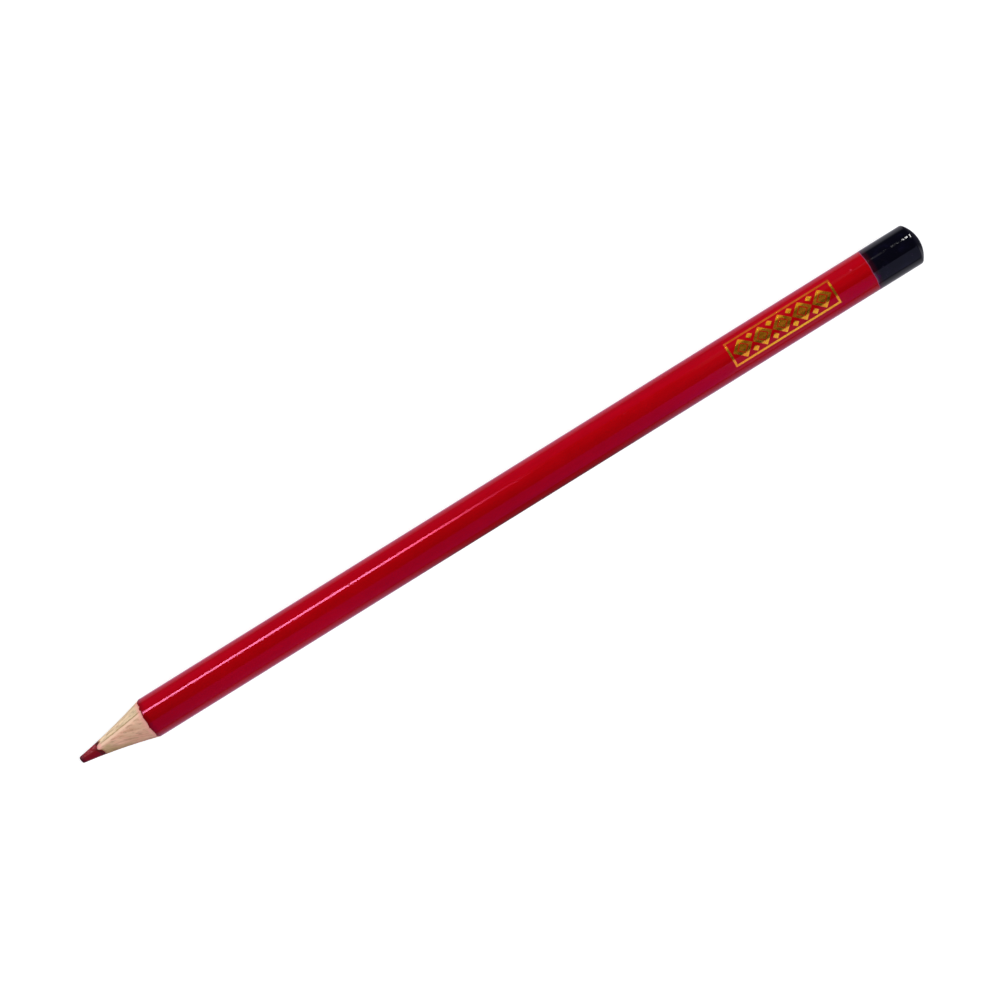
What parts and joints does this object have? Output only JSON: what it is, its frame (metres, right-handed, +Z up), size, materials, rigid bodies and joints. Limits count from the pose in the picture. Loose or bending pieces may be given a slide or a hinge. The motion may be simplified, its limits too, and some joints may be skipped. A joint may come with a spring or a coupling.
{
  "type": "checking pencil",
  "caption": "Round wood-cased checking pencil with a sharpened point, a thick red lead, a red lacquered barrel and a black dipped, domed end.",
  "frame": {"origin": "on the surface that the pencil lies on, straight below the middle of its length", "axes": "+X along the pencil towards its dipped end, +Z up, so the sharpened point faces -X"},
  "size_m": [0.175, 0.0078, 0.0078],
  "materials": {
    "rear_wood": "bare, machine sharpened",
    "front_wood": "bare, machine sharpened",
    "red_lead": "waxy, ground",
    "glue": "set",
    "filler": "flat primer",
    "red_lacquer": "high gloss",
    "black_dip": "high gloss",
    "gold_foil": "hot stamped foil"
  },
  "bodies": {
    "root": {"rear_slat": "rear_wood", "front_slat": "front_wood", "lead_core": "red_lead", "glue_film": "glue", "filler_coat": "filler", "lacquer_coat": "red_lacquer", "dip_coat": "black_dip"}
  },
  "joints": []
}
